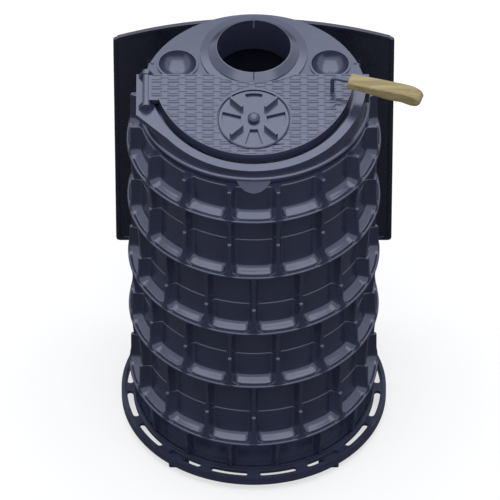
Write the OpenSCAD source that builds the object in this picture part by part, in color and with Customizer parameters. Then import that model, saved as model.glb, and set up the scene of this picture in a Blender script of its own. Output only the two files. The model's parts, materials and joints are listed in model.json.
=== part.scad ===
// Top-loading wood-fired sauna stove: a stack of ribbed ring castings on a slotted base,
// a hood with a flue collar and two scent bowls, and a sloping hatch with an air dial.
// Millimetres, +Z up. The origin is on the body's axis, on the floor.
// The front, where the hatch is, faces -Y.

/* [Body] */
// Radius of the flat floor of the pockets
floor_r = 220; // [210:1:230]
// Inside radius of the ring castings
bore_r = 206; // [196:1:208]
// Radius of the rib crests
crest_r = 240; // [232:1:250]
// Radius of the lip below each row of pockets
lip_r = 243.5; // [240:0.5:254]
// Thickness of that lip at its edge
lip_t = 4; // [2:0.5:8]
// Radius of the scoop that runs out to the lip
scoop_r = 23; // [14:1:26]
// Width of a rib
rib_w = 9; // [6:0.5:14]
// Radius in the corners of a pocket
corner_r = 12; // [6:1:16]
// Height of the joint between the base and the lowest casting
foot_z = 38; // [34:1:44]
// Height of the first seam
seam_1_z = 176; // [165:1:185]
// Height of the second seam
seam_2_z = 330; // [320:1:340]
// Height of the third seam
seam_3_z = 462; // [452:1:472]
// Height of the fourth seam
seam_4_z = 628; // [618:1:638]
// Height of the top of the body
body_top_z = 762; // [750:1:775]
// Height of the lowest lip
lip_1_z = 108; // [100:1:116]
// Height of the second lip
lip_2_z = 263; // [255:1:271]
// Height of the third lip
lip_3_z = 403; // [395:1:411]
// Height of the fourth lip
lip_4_z = 550; // [542:1:558]
// Height of the highest lip
lip_5_z = 694; // [686:1:702]
// Step of the pockets and ribs at a seam, where the upper casting is set back
seam_step = 1.8; // [0:0.2:3]

/* [Base] */
// Outer radius of the base ring
base_r = 260; // [250:1:275]
// Radius of the opening in the base ring
base_bore_r = 190; // [150:1:195]
// Height of the feet
foot_h = 15; // [10:1:25]
// Height of the skirt round the base ring
skirt_h = 18.5; // [16:0.5:22]
// Thickness of the base ring's web
base_web_t = 7; // [5:0.5:9]
// Width of the rim round the base ring
base_rim_w = 7.5; // [5:0.5:10]
// Width of the slots in the base ring
slot_w = 12; // [8:0.5:14]
// Radius of the circle of slots
slot_ring_r = 243; // [241:0.5:245]
// Angle that a slot covers, from end centre to end centre
slot_angle = 14.5; // [10:0.5:16]

/* [Hood] */
// Outer radius of the hood
hood_r = 213.5; // [211:0.5:215]
// Thickness of the hood's wall and deck
hood_t = 8; // [6:0.5:10]
// Height of the sloping deck at the axis
deck_z = 806; // [800:1:815]
// Slope of the deck to the front
deck_tilt = 2.9; // [1:0.1:4]
// Reach of the round moulding beyond the hood's wall
moulding_reach = 5.5; // [3:0.5:6]
// Height of the moulding's middle above the body
moulding_rise = 24; // [20:1:26]
// Width of the lifting tongue at the front
tongue_w = 67; // [50:1:80]
// Reach of the lifting tongue
tongue_reach = 18; // [12:1:22]

/* [Flue] */
// Bore for the flue pipe
flue_d = 141; // [120:1:150]
// Distance of the flue behind the body's axis
flue_y = 105; // [103:1:108]
// Depth of the flue socket under the deck
socket_h = 56; // [20:1:58]
// Outer radius of the collar
collar_r = 102.5; // [96:0.5:104]
// Radius of the step in the collar
collar_step_r = 86.5; // [82:0.5:90]
// Height of the collar above the deck
collar_h = 19.5; // [14:0.5:24]
// Gap between the two halves of the collar
collar_gap = 1.4; // [0.6:0.1:2]

/* [Bowls] */
// Inside radius of a scent bowl
bowl_r = 35.5; // [30:0.5:36]
// Depth of a scent bowl
bowl_h = 24.5; // [18:0.5:30]
// Wall of a scent bowl
bowl_t = 2.3; // [1.5:0.1:3]
// Distance of the bowls from the middle plane
bowl_x = 145.6; // [144:0.2:147]
// Distance of the bowls behind the axis
bowl_y = 76.5; // [74:0.5:78]

/* [Hatch] */
// Outer radius of the hatch frame
frame_r = 215.2; // [214:0.2:217]
// Radius of the recess in the hatch frame
recess_r = 198.8; // [196:0.2:201]
// Radius of the loading opening
load_r = 178; // [170:1:182]
// Height of the hatch frame's top face at the axis
hatch_z = 842.8; // [838:0.2:848]
// Slope of the hatch to the front
hatch_tilt = 11.3; // [10.6:0.1:12]
// Distance of the frame's rear face behind the axis
frame_back_y = 9; // [7:0.5:12]
// Thickness of the hatch frame's rear wall
frame_wall_t = 9; // [6:0.5:10]
// Radius of the lid
lid_r = 190.4; // [188:0.2:192]
// Height of the lid above the frame's top face
lid_rise = 13.4; // [12:0.2:16]
// Thickness of the lid's plate
lid_t = 9; // [7:0.5:11]
// Width of the lid's rim
lid_rim_w = 14; // [13:0.5:18]
// Radius of the notch that clears the flue, at the lid's edge
notch_r = 165; // [160:1:168]
// Diameter of the hinge barrel
barrel_d = 13.8; // [12:0.2:14.5]
// Diameter of the hinge pin
hinge_pin_d = 8; // [6:0.5:9]
// Distance of the hinge to the left of the axis
hinge_x = 204; // [203:0.5:206]
// Length of the hinge barrel
barrel_l = 63; // [50:1:64]

/* [Air dial] */
// Radius of the air dial
dial_r = 68; // [60:0.5:69]
// Thickness of the air dial
dial_t = 5; // [4:0.5:8]
// Distance of the dial in front of the axis, along the lid
dial_y = 108; // [105:1:110]
// Height of the dial's finger fins
fin_h = 12; // [8:1:16]

/* [Handle] */
// Diameter of the handle rod
rod_d = 8; // [6:0.5:10]
// Distance of the rod to the right of the axis
rod_x = 148.6; // [140:0.2:155]
// Distance of the rod in front of the axis
rod_y = 41.8; // [36:0.2:46]
// Height of the rod's level part above the hatch frame at the axis
rod_rise = 38.5; // [32:0.5:48]
// Angle of the handle to the front
handle_angle = 16.5; // [0:0.5:30]
// Distance from the rod's upright to the wooden grip
grip_start = 34; // [25:1:45]
// Length of the wooden grip
grip_l = 143; // [120:1:160]
// Width of the wooden grip
grip_w = 31; // [24:1:36]
// Greatest depth of the wooden grip
grip_h = 24; // [18:1:28]

/* [Heat shield] */
// Width of the heat shield
shield_w = 543.5; // [520:0.5:560]
// Height of the bottom of the heat shield
shield_z = 190; // [180:1:210]
// Height of its upper corners
shield_corner_z = 720; // [700:1:725]
// Rise of its arched top in the middle
shield_arch = 47; // [30:1:60]
// Thickness of the heat shield
shield_t = 8.5; // [6:0.5:10]
// Distance of its front face behind the axis
shield_y = 251; // [248:1:258]
// Height of the upper strap
strap_1_z = 654; // [645:1:665]
// Height of the lower strap
strap_2_z = 300; // [290:1:310]

/* [Hidden] */

$fn = 96;
// Ribs round the body, and the angle from one to the next
ribs = 16;
pitch = 360 / ribs;
// Overrun of every cut
over = 1;
// Reach of the boxes that stand for half spaces
span = 600;
// Clearance of a part that is set inside another
fit = 0.3;
// Running fit of a pin in its bore, on the radius
run = 0.08;
// Seams and lips from bottom to top, and how far the ribs under each seam are turned
seams = [foot_z, seam_1_z, seam_2_z, seam_3_z, seam_4_z, body_top_z];
lips = [lip_1_z, lip_2_z, lip_3_z, lip_4_z, lip_5_z];
rib_turns = [pitch / 2, 0, pitch / 2, 0, pitch / 2, pitch / 2];

// Cove along the root of every rib, and the radius inside the wall that the ribs start from
cove_r = 12;
rib_root_w = 6;
root_r = bore_r + rib_root_w;

// Clearance of the plates that lie loose inside the body
plate_gap = 2;

// Seal groove in the top of each ring casting
groove_w = 6;
groove_h = 5;
groove_r = (bore_r + floor_r) / 2;

// Ledge for the grate, and the grate
ledge_z = 100;
ledge_w = 12;
ledge_h = 9;
grate_t = 14;
grate_slot_w = 11;
grate_bar_w = 13;
grate_rim_w = 20;
floor_t = 8;

// Base ring
base_top_z = foot_h + skirt_h;
base_web_drop = 3.5;
base_web_z = base_top_z - base_web_drop;
base_skirt_t = 6;
foot_l = 39.5;
foot_w = 30;
foot_round = 4;
foot_inset = 27.5;
foot_turn = 38.9;
seat_reach = 8;
seat_r = floor_r + seat_reach;
ridge_w = 4;
ridge_gap = 2.5;
ridge_r = seat_r + ridge_gap + ridge_w / 2;
ridge_drop = 2;
// The slots keep their distance from the edge when the base ring's radius is changed from this one
base_drawn_r = 260;
slot_place_r = slot_ring_r + base_r - base_drawn_r;
foot_hole_d = 6.5;
foot_hole_h = 12;

// Baffle
baffle_t = 10;
baffle_y = 14;
baffle_z = 262;
baffle_top_z = 786;
baffle_side_gap = 3;
lug_h = 14;
lug_w = 34;
lug_reach = 16;

// Hood
hood_bore_r = hood_r - hood_t;
hood_foot_r = 217;
hood_foot_h = 5;
moulding_r = 4.5;
hood_neck_r = hood_r - moulding_r / 3;
tongue_drop = 12;
tongue_t = 6;
tongue_z = body_top_z + 15;
tongue_root_r = 214;
socket_t = 8;
screw_turn = 22.5;
screw_d = 4;
screw_l = 14;
screw_head_d = 6.6;
screw_head_h = 1.8;

// Collar: heights of its edge and step, as shares of its height
collar_edge_share = 0.15;
collar_step_low_share = 0.29;
collar_step_high_share = 0.39;

// Screws in the bottoms of the bowls
bowl_screw_d = 4;
bowl_screw_head_d = 8;
bowl_screw_head_h = 2.4;
bowl_screw_tail = 8;
bowl_nut_d = 8;
bowl_nut_h = 3.5;

// Arc that runs round the flue in front of it, shared by the hood, the frame and the lid
notch_y = 142;
deck_edge_y = -12;
lid_back_y = -3;
lid_gap = 4;
recess_h = 11.3;
ledge_t = 6;
skirt_gap = 0.8;

// Hinge
hinge_rise = 8.6;
lug_base_w = 29;
lug_round_r = 8.4;
lug_side_share = 0.9;
lug_rise_share = 0.43;
lug_t = 10;
barrel_gap = 0.7;
barrel_y = -barrel_l / 2 - 2;
tab_front_y = -62;
tab_gap = 1.4;
tab_root_share = 0.95;
bracket_reach = 8;
bracket_x = 223;
bracket_t = 10;
bracket_front_y = -85;
bracket_end_shares = [-0.835, -0.6942];
bracket_end = bracket_end_shares * recess_r;
bracket_root_shares = [-0.7, -0.75];
bracket_back_share = 0.98;
wing_x = 219;
wing_y = -28;

// Lid
seal_w = 7;
seal_h = 8;
seal_hold = 5;
liner_t = 4;
liner_gap = 12;
liner_post_d = 14;
liner_screw_d = 6;
liner_head_share = 0.8;
liner_place_shares = [[-0.618, -0.337], [0.618, -0.337], [-0.337, -0.8427], [0.337, -0.8427]];
liner_places = liner_place_shares * load_r;

// Air dial
dial_recess = 4;
dial_gap = 2.5;
window_in_r = 24.5;
window_out_r = 61;
window_half_angle = 16.2;
fin_t = 5;
fin_in_r = 30;
fin_out_r = 62;
dial_rim_w = 2;
stud_d = 8;
nut_r = 11.5;
nut_h = 11;
nut_dome_share = 1.1;
washer_r = 10;
washer_t = 1.6;

// Handle
rod_bend_r = 10;
rod_in_grip = 60;
boss_d = 22;
boss_h = 11.4;
grip_near_h = 14;
grip_round_r = 3;
grip_middle_share = 0.4;
grip_swell_share = 0.45;
grip_bend_share = 0.72;
grip_droop_share = 1.35;

// Heat shield
shield_corner_r = 8;
border_w = 8;
border_t = 2;
strap_h = 20;
strap_t = 4;
strap_end_x = 207;
shield_bolt_x = 200.5;
boss_x = 60;
rear_boss_d = 26;
bolt_d = 8;
bolt_head_d = 13;
bolt_head_h = 5;
bolt_end_gap = 2;

// A tall upright prism of a flat outline
module prism(top_z = span * 2) {
    linear_extrude(height = top_z) children();
}

// Children placed on the sloping deck: their zero plane is the deck's top face
module on_deck() {
    translate([0, 0, deck_z]) rotate([deck_tilt, 0, 0]) children();
}

// Children placed on the sloping hatch: their zero plane is the frame's top face
module on_hatch() {
    translate([0, 0, hatch_z]) rotate([hatch_tilt, 0, 0]) children();
}

// A wide slab from one height to another
module slab(low, high) {
    translate([-span, -span, low]) cube([span * 2, span * 2, high - low]);
}

// A flat half plane in front of a line across the stove
module in_front(y) {
    translate([-span, y - span * 2]) square([span * 2, span * 2]);
}

// A flat D: a round of the given radius, cut off behind and notched round the flue
module hatch_outline(round_r, back_y, clear_r) {
    difference() {
        intersection() {
            circle(r = round_r);
            in_front(back_y);
        }
        translate([0, notch_y]) circle(r = clear_r);
    }
}

// Plan of a rib along X, with a cove on each side that runs out into the pocket's floor
module rib_plan(top_r) {
    reach = floor_r + cove_r - fit;
    y = rib_w / 2 + cove_r;
    x = sqrt(reach * reach - y * y);
    translate([root_r, -rib_w / 2]) square([top_r - root_r, rib_w]);
    difference() {
        polygon([
            [x * root_r / reach, -y * root_r / reach],
            [x, -y],
            [x, y],
            [x * root_r / reach, y * root_r / reach]]);
        for (side = [-1, 1]) translate([x, side * y]) circle(r = cove_r);
    }
}

// Front outline of the rounded corners that join a rib to the lip, which lies at zero
module rib_corners() {
    difference() {
        translate([-rib_w / 2 - corner_r, 0]) square([rib_w + corner_r * 2, corner_r]);
        for (side = [-1, 1]) translate([side * (rib_w / 2 + corner_r), corner_r]) circle(r = corner_r);
    }
}

// A ring of ribs from one height to another, with rounded corners at the end that meets a lip
module rib_ring(low, high, turn, wide_below) {
    top_r = crest_r - (wide_below ? 0 : seam_step);
    for (i = [0 : ribs - 1]) rotate([0, 0, i * pitch + turn]) {
        translate([0, 0, low]) linear_extrude(height = high - low) rib_plan(top_r);
        translate([0, 0, wide_below ? low : high])
            rotate([90, 0, 90])
                scale([1, wide_below ? 1 : -1, 1])
                    translate([0, 0, root_r])
                        linear_extrude(height = top_r - root_r) rib_corners();
    }
}

// One ring casting: the tube, its lip with the scoop above, and the ribs above and below
module body_ring(i) {
    low = seams[i];
    high = seams[i + 1];
    lip = lips[i];
    difference() {
        union() {
            rotate_extrude() difference() {
                union() {
                    translate([bore_r, low]) square([floor_r - seam_step - bore_r, high - low]);
                    translate([bore_r, lip - lip_t]) square([floor_r - bore_r, high - lip + lip_t]);
                    translate([root_r, lip - lip_t]) square([lip_r - root_r, lip_t + scoop_r]);
                }
                translate([lip_r, lip + scoop_r]) circle(r = scoop_r);
            }
            rib_ring(low, lip - lip_t / 2, rib_turns[i], false);
            rib_ring(lip - lip_t / 2, high, rib_turns[i + 1], true);
        }
        translate([0, 0, high - groove_h]) rotate_extrude()
            translate([groove_r - groove_w / 2, 0]) square([groove_w, groove_h + over]);
    }
}

// Lug inside a ring casting that the baffle stands on
module baffle_lugs() {
    for (side = [-1, 1]) intersection() {
        translate([side * (bore_r - lug_reach / 2 + over), baffle_y + baffle_t / 2, baffle_z - lug_h / 2])
            cube([lug_reach + over * 4, lug_w, lug_h], center = true);
        translate([0, 0, baffle_z - lug_h]) cylinder(r = bore_r + over, h = lug_h);
    }
}

// Bosses behind a ring casting that carry a strap of the heat shield
module rear_bosses(z) {
    for (side = [-1, 1]) difference() {
        translate([side * boss_x, bore_r, z]) rotate([-90, 0, 0])
            cylinder(d = rear_boss_d, h = shield_y - strap_t - bore_r);
        translate([side * boss_x, floor_r, z]) rotate([-90, 0, 0]) cylinder(d = bolt_d, h = shield_y);
        translate([0, 0, z - rear_boss_d]) cylinder(r = bore_r + over * 2, h = rear_boss_d * 2);
    }
}

// Flat outline of a foot, square to the front, with rounded corners
module foot_outline() {
    square([foot_l - foot_round * 2, foot_w], center = true);
    square([foot_l, foot_w - foot_round * 2], center = true);
    for (side = [-1, 1], end = [-1, 1])
        translate([side * (foot_l / 2 - foot_round), end * (foot_w / 2 - foot_round)]) circle(r = foot_round);
}

// Children placed at the middle of each foot
module foot_places() {
    r = base_r - foot_inset;
    for (side = [-1, 1], end = [-1, 1])
        translate([side * r * sin(foot_turn), end * r * cos(foot_turn), 0]) children();
}

module base_ring() {
    color([0.2, 0.21, 0.26]) difference() {
        union() {
            rotate_extrude() {
                translate([base_bore_r, base_web_z - base_web_t])
                    square([base_r - base_bore_r, base_web_t]);
                translate([base_bore_r, base_web_z - base_web_t])
                    square([ridge_r + ridge_w / 2 - base_bore_r, base_web_t]);
                translate([base_r - base_skirt_t, foot_h]) square([base_skirt_t, skirt_h - base_rim_w / 2]);
                translate([base_r - base_rim_w, base_web_z - base_web_t])
                    square([base_rim_w, base_top_z - base_web_z + base_web_t]);
                translate([base_bore_r, base_web_z - base_web_t])
                    square([seat_r - base_bore_r, foot_z - base_web_z + base_web_t]);
                translate([ridge_r - ridge_w / 2, base_web_z - base_web_t])
                    square([ridge_w, foot_z - ridge_drop - base_web_z + base_web_t]);
            }
            foot_places() linear_extrude(height = base_web_z - base_web_t / 2) foot_outline();
        }
        for (i = [0 : ribs - 1]) rotate([0, 0, (i + 0.5) * pitch]) slot();
        foot_places() translate([0, 0, -over]) cylinder(d = foot_hole_d, h = foot_hole_h + over);
    }
}

// One arc slot through the base ring's web
module slot() {
    low = base_web_z - base_web_t - over;
    h = foot_z + over - low;
    translate([0, 0, low]) {
        rotate([0, 0, -slot_angle / 2]) rotate_extrude(angle = slot_angle)
            translate([slot_place_r - slot_w / 2, 0]) square([slot_w, h]);
        for (side = [-1, 1]) rotate([0, 0, side * slot_angle / 2])
            translate([slot_place_r, 0, 0]) cylinder(d = slot_w, h = h);
    }
}

module floor_plate() {
    color([0.22, 0.2, 0.2]) translate([0, 0, foot_z]) cylinder(r = bore_r - plate_gap, h = floor_t);
}

module body_ring_1() {
    color([0.24, 0.25, 0.31]) {
        body_ring(0);
        rotate_extrude() translate([bore_r - ledge_w, ledge_z - ledge_h])
            square([ledge_w + groove_w / 2, ledge_h]);
    }
}

module body_ring_2() {
    color([0.25, 0.26, 0.32]) {
        body_ring(1);
        baffle_lugs();
        rear_bosses(strap_2_z);
    }
}

module body_ring_3() {
    color([0.24, 0.25, 0.31]) body_ring(2);
}

module body_ring_4() {
    color([0.25, 0.26, 0.32]) body_ring(3);
}

module body_ring_5() {
    color([0.24, 0.25, 0.31]) {
        body_ring(4);
        rear_bosses(strap_1_z);
    }
}

module seam_seals() {
    color([0.75, 0.73, 0.66]) for (z = [seam_1_z, seam_2_z, seam_3_z, seam_4_z, body_top_z])
        translate([0, 0, z - groove_h]) rotate_extrude()
            translate([groove_r - groove_w / 2 + fit, 0]) square([groove_w - fit * 2, groove_h]);
}

module grate() {
    r = bore_r - plate_gap;
    bars = floor((r - grate_rim_w) * 2 / (grate_slot_w + grate_bar_w) / 2);
    color([0.2, 0.19, 0.19]) translate([0, 0, ledge_z]) difference() {
        cylinder(r = r, h = grate_t);
        for (i = [-bars : bars]) {
            x = i * (grate_slot_w + grate_bar_w);
            reach = sqrt(pow(r - grate_rim_w, 2) - pow(abs(x) + grate_slot_w / 2, 2));
            for (side = [-1, 1])
                translate([x - grate_slot_w / 2, side > 0 ? grate_bar_w / 2 : -reach, -over])
                    cube([grate_slot_w, reach - grate_bar_w / 2, grate_t + over * 2]);
        }
    }
}

module baffle() {
    half = sqrt(pow(bore_r, 2) - pow(baffle_y + baffle_t, 2)) - baffle_side_gap;
    color([0.21, 0.2, 0.2]) translate([-half, baffle_y, baffle_z])
        cube([half * 2, baffle_t, baffle_top_z - baffle_z]);
}

// Outline of the hood's wall with its foot and round moulding
module hood_profile() {
    mid_z = body_top_z + moulding_rise;
    translate([0, body_top_z]) square([hood_neck_r, mid_z - body_top_z]);
    translate([0, mid_z]) square([hood_r, span / 2]);
    translate([0, body_top_z]) square([hood_foot_r, hood_foot_h]);
    translate([0, mid_z - moulding_r]) square([hood_r + moulding_reach - moulding_r, moulding_r * 2]);
    translate([hood_r + moulding_reach - moulding_r, mid_z]) circle(r = moulding_r);
}

// Half-round lifting tongue under the moulding at the front
module tongue() {
    slope = atan(tongue_drop / tongue_reach);
    reach = tongue_reach / cos(slope);
    round_r = (tongue_w * tongue_w / 4 + reach * reach) / (reach * 2);
    translate([0, -tongue_root_r, tongue_z]) rotate([slope, 0, 0]) intersection() {
        translate([-tongue_w, -reach * 2, -tongue_t]) cube([tongue_w * 2, reach * 2 + hood_t / 2, tongue_t]);
        translate([0, round_r - reach, -tongue_t]) cylinder(r = round_r, h = tongue_t);
    }
}

module hood() {
    color([0.38, 0.4, 0.5]) difference() {
        union() {
            intersection() {
                rotate_extrude() hood_profile();
                on_deck() slab(-span, 0);
            }
            tongue();
        }
        difference() {
            intersection() {
                translate([0, 0, body_top_z - over]) cylinder(r = hood_bore_r, h = span);
                on_deck() slab(-span, -hood_t);
            }
            translate([0, flue_y, 0]) intersection() {
                cylinder(d = flue_d + socket_t * 2, h = span * 2);
                translate([0, -flue_y, 0]) on_deck() slab(-hood_t - socket_h, 0);
            }
        }
        translate([0, flue_y, 0]) cylinder(d = flue_d, h = span * 2);
        prism() hatch_outline(hood_bore_r - fit / 2, deck_edge_y, notch_r + frame_wall_t + over);
        for (side = [-1, 1]) translate([side * bowl_x, bowl_y, body_top_z])
            cylinder(r = bowl_r + bowl_t + fit, h = span);
        deck_screw_places() translate([0, 0, -screw_l]) cylinder(d = screw_d + run * 2, h = screw_l + over);
    }
}

// Both halves of the collar, about the flue, on the deck
module collar_body() {
    step_low = collar_h * collar_step_low_share;
    step_high = collar_h * collar_step_high_share;
    edge_h = collar_h * collar_edge_share;
    lip_w = 1.6;
    difference() {
        on_deck() translate([0, flue_y / cos(deck_tilt), 0]) rotate_extrude() polygon([
            [flue_d / 2 - socket_t, 0],
            [collar_r, 0],
            [collar_r, edge_h],
            [collar_step_r, step_low],
            [collar_step_r, step_high],
            [flue_d / 2 + lip_w, collar_h],
            [flue_d / 2 - socket_t, collar_h]]);
        translate([0, flue_y, 0]) cylinder(d = flue_d, h = span * 2);
    }
}

module collar_half(side) {
    intersection() {
        collar_body();
        translate([side > 0 ? collar_gap / 2 : -span - collar_gap / 2, -span, 0])
            cube([span, span * 2, span * 2]);
    }
}

module collar_left() {
    color([0.4, 0.42, 0.52]) collar_half(-1);
}

module collar_right() {
    color([0.41, 0.43, 0.53]) collar_half(1);
}

// A round bowl that hangs in the deck by its rim
module bowl(side) {
    rim_w = 2.2;
    rim_h = 2.6;
    cap_r = (bowl_r * bowl_r + bowl_h * bowl_h) / (2 * bowl_h);
    on_deck() translate([side * bowl_x, bowl_y / cos(deck_tilt), 0]) difference() {
        union() {
            intersection() {
                translate([0, 0, cap_r - bowl_h]) sphere(r = cap_r + bowl_t);
                translate([0, 0, -bowl_h * 2]) cylinder(r = bowl_r + bowl_t, h = bowl_h * 2);
            }
            cylinder(r = bowl_r + bowl_t + rim_w, h = rim_h);
        }
        intersection() {
            translate([0, 0, cap_r - bowl_h]) sphere(r = cap_r);
            translate([0, 0, -bowl_h * 2]) cylinder(r = bowl_r, h = bowl_h * 2 + over);
        }
        cylinder(r = bowl_r, h = rim_h + over);
        translate([0, 0, -bowl_h - bowl_t - over]) cylinder(d = bowl_screw_d + run * 2, h = bowl_h);
    }
}

module bowl_left() {
    color([0.36, 0.38, 0.48]) bowl(-1);
}

module bowl_right() {
    color([0.36, 0.38, 0.48]) bowl(1);
}

module bowl_screws() {
    low = -bowl_t - bowl_screw_tail;
    color([0.1, 0.1, 0.12]) for (side = [-1, 1])
        on_deck() translate([side * bowl_x, bowl_y / cos(deck_tilt), -bowl_h]) {
            translate([0, 0, low]) cylinder(d = bowl_screw_d, h = fit + bowl_screw_head_h / 2 - low);
            translate([0, 0, fit]) cylinder(d = bowl_screw_head_d, h = bowl_screw_head_h);
            translate([0, 0, -bowl_t - fit - bowl_nut_h]) cylinder(d = bowl_nut_d, h = bowl_nut_h, $fn = 6);
        }
}

// Places of the two screws at the edge of the deck, with their axes upright to it
module deck_screw_places() {
    mid_r = (hood_r + hood_bore_r) / 2;
    for (side = [-1, 1]) on_deck()
        translate([side * mid_r * cos(screw_turn), mid_r * sin(screw_turn), 0]) children();
}

module deck_screws() {
    color([0.3, 0.31, 0.38]) deck_screw_places() {
        translate([0, 0, -screw_l]) cylinder(d = screw_d, h = screw_l + screw_head_h);
        cylinder(d = screw_head_d, h = screw_head_h);
    }
}

// Flat outline of the hinge bracket on the left of the frame
module bracket_outline() {
    polygon([
        [-bracket_x, frame_back_y],
        [-bracket_x, bracket_front_y],
        bracket_end,
        bracket_root_shares * recess_r,
        [-recess_r * bracket_back_share, frame_back_y]]);
}

// One lug of the hinge, upright on the frame, from y towards the back
module hinge_lug(y) {
    translate([-hinge_x, y + lug_t, 0]) rotate([90, 0, 0]) linear_extrude(height = lug_t) {
        translate([0, hinge_rise]) circle(r = lug_round_r);
        polygon([
            [-lug_base_w / 2, 0],
            [lug_base_w / 2, 0],
            [lug_round_r * lug_side_share, hinge_rise + lug_round_r * lug_rise_share],
            [-lug_round_r * lug_side_share, hinge_rise + lug_round_r * lug_rise_share]]);
    }
}

module hatch_frame() {
    color([0.44, 0.46, 0.54]) difference() {
        union() {
            intersection() {
                prism() union() {
                    hatch_outline(frame_r, frame_back_y, notch_r - lid_gap - frame_wall_t);
                    translate([wing_x - bracket_reach * 2, wing_y])
                        square([bracket_reach * 2, frame_back_y - wing_y]);
                }
                on_hatch() slab(-span, 0);
                on_deck() slab(0, span);
            }
            intersection() {
                prism() hatch_outline(hood_bore_r - skirt_gap, deck_edge_y, notch_r - lid_gap);
                on_hatch() slab(-recess_h - ledge_t, 0);
            }
            intersection() {
                prism() bracket_outline();
                on_hatch() slab(-bracket_t, 0);
            }
            on_hatch() hinge_lug(barrel_y + barrel_l / 2 + barrel_gap);
            on_hatch() hinge_lug(barrel_y - barrel_l / 2 - barrel_gap - lug_t);
        }
        intersection() {
            prism() hatch_outline(recess_r, frame_back_y - frame_wall_t, notch_r - lid_gap);
            on_hatch() slab(-recess_h, span);
        }
        prism() hatch_outline(load_r, lid_back_y - lid_rim_w, notch_r + lid_rim_w);
        on_hatch() translate([-hinge_x, span, hinge_rise]) rotate([90, 0, 0])
            cylinder(d = hinge_pin_d + run * 2, h = span * 2);
    }
}

module hinge_pin() {
    tail = 1.5;
    l = barrel_l + (barrel_gap + lug_t + tail) * 2;
    color([0.6, 0.61, 0.64]) on_hatch() translate([-hinge_x, barrel_y + l / 2, hinge_rise])
        rotate([90, 0, 0]) cylinder(d = hinge_pin_d, h = l);
}

// Flat outline of a window in the dial and in the lid, about the dial's centre
module window_outline() {
    intersection() {
        difference() {
            circle(r = window_out_r);
            circle(r = window_in_r);
        }
        polygon([
            [0, 0],
            [-window_out_r * 2 * sin(window_half_angle), window_out_r * 2 * cos(window_half_angle)],
            [window_out_r * 2 * sin(window_half_angle), window_out_r * 2 * cos(window_half_angle)]]);
    }
}

module windows(turn) {
    for (i = [0 : 3]) rotate([0, 0, i * 90 + turn]) window_outline();
}

module lid() {
    color([0.45, 0.47, 0.55]) difference() {
        union() {
            difference() {
                intersection() {
                    prism() hatch_outline(lid_r, lid_back_y, notch_r);
                    on_hatch() slab(seal_hold - recess_h, lid_rise);
                }
                intersection() {
                    prism() hatch_outline(lid_r - lid_rim_w, lid_back_y - lid_rim_w, notch_r + lid_rim_w);
                    on_hatch() slab(-span, lid_rise - lid_t);
                }
            }
            on_hatch() translate([-hinge_x, tab_front_y, tab_gap])
                cube([hinge_x - lid_r * tab_root_share, lid_back_y - tab_front_y, lid_rise - tab_gap]);
            on_hatch() translate([-hinge_x, barrel_y + barrel_l / 2, hinge_rise]) rotate([90, 0, 0])
                cylinder(d = barrel_d, h = barrel_l);
            liner_posts(lid_rise - lid_t - liner_gap);
            intersection() {
                translate([rod_x, -rod_y, 0]) cylinder(d = boss_d, h = span * 2);
                on_hatch() slab(lid_rise - lid_t - boss_h, lid_rise - lid_t / 2);
            }
        }
        on_hatch() translate([-hinge_x, span, hinge_rise]) rotate([90, 0, 0])
            cylinder(d = hinge_pin_d + run * 2, h = span * 2);
        on_hatch() translate([0, -dial_y, lid_rise - dial_recess]) cylinder(r = dial_r + dial_gap, h = span);
        on_hatch() translate([0, -dial_y, -span / 2]) linear_extrude(height = span) windows(45);
        on_hatch() translate([0, -dial_y, -span / 2]) cylinder(d = stud_d + run * 2, h = span);
        intersection() {
            translate([rod_x, -rod_y, 0]) cylinder(d = rod_d + run * 2, h = span * 2);
            on_hatch() slab(lid_rise - lid_t - boss_h / 2, span);
        }
        seal_ring(0);
    }
}

// The rope seal's path round the lid's rim, made larger or smaller by play
module seal_ring(play) {
    mid = lid_rim_w / 2;
    intersection() {
        difference() {
            prism() hatch_outline(lid_r - mid + seal_w / 2 - play, lid_back_y - mid + seal_w / 2 - play,
                notch_r + mid - seal_w / 2 + play);
            prism() hatch_outline(lid_r - mid - seal_w / 2 + play, lid_back_y - mid - seal_w / 2 + play,
                notch_r + mid + seal_w / 2 - play);
        }
        on_hatch() slab(-recess_h + fit, -recess_h + seal_h);
    }
}

module lid_seal() {
    color([0.72, 0.7, 0.62]) seal_ring(fit / 3);
}

// Posts under the lid that hold the liner
module liner_posts(low) {
    for (place = liner_places) on_hatch() translate([place[0], place[1], low]) difference() {
        cylinder(d = liner_post_d, h = lid_rise - lid_t / 2 - low);
        translate([0, 0, -over]) cylinder(d = liner_screw_d, h = liner_gap);
    }
}

module lid_liner() {
    gap = 3;
    top = lid_rise - lid_t - liner_gap;
    color([0.3, 0.29, 0.29]) difference() {
        intersection() {
            prism() hatch_outline(load_r - gap, lid_back_y - lid_rim_w - gap, notch_r + lid_rim_w + gap);
            on_hatch() slab(top - liner_t, top);
        }
        on_hatch() translate([0, -dial_y, -span / 2]) cylinder(r = washer_r * 2, h = span);
        for (place = liner_places) on_hatch() translate([place[0], place[1], -span / 2])
            cylinder(d = liner_screw_d, h = span);
    }
}

module liner_screws() {
    head_h = 3;
    top = lid_rise - lid_t - liner_gap;
    color([0.35, 0.35, 0.38]) for (place = liner_places) on_hatch()
        translate([place[0], place[1], top - liner_t]) {
            cylinder(d = liner_screw_d - run * 2, h = liner_gap);
            translate([0, 0, -head_h]) cylinder(d = liner_post_d * liner_head_share, h = head_h);
        }
}

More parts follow.
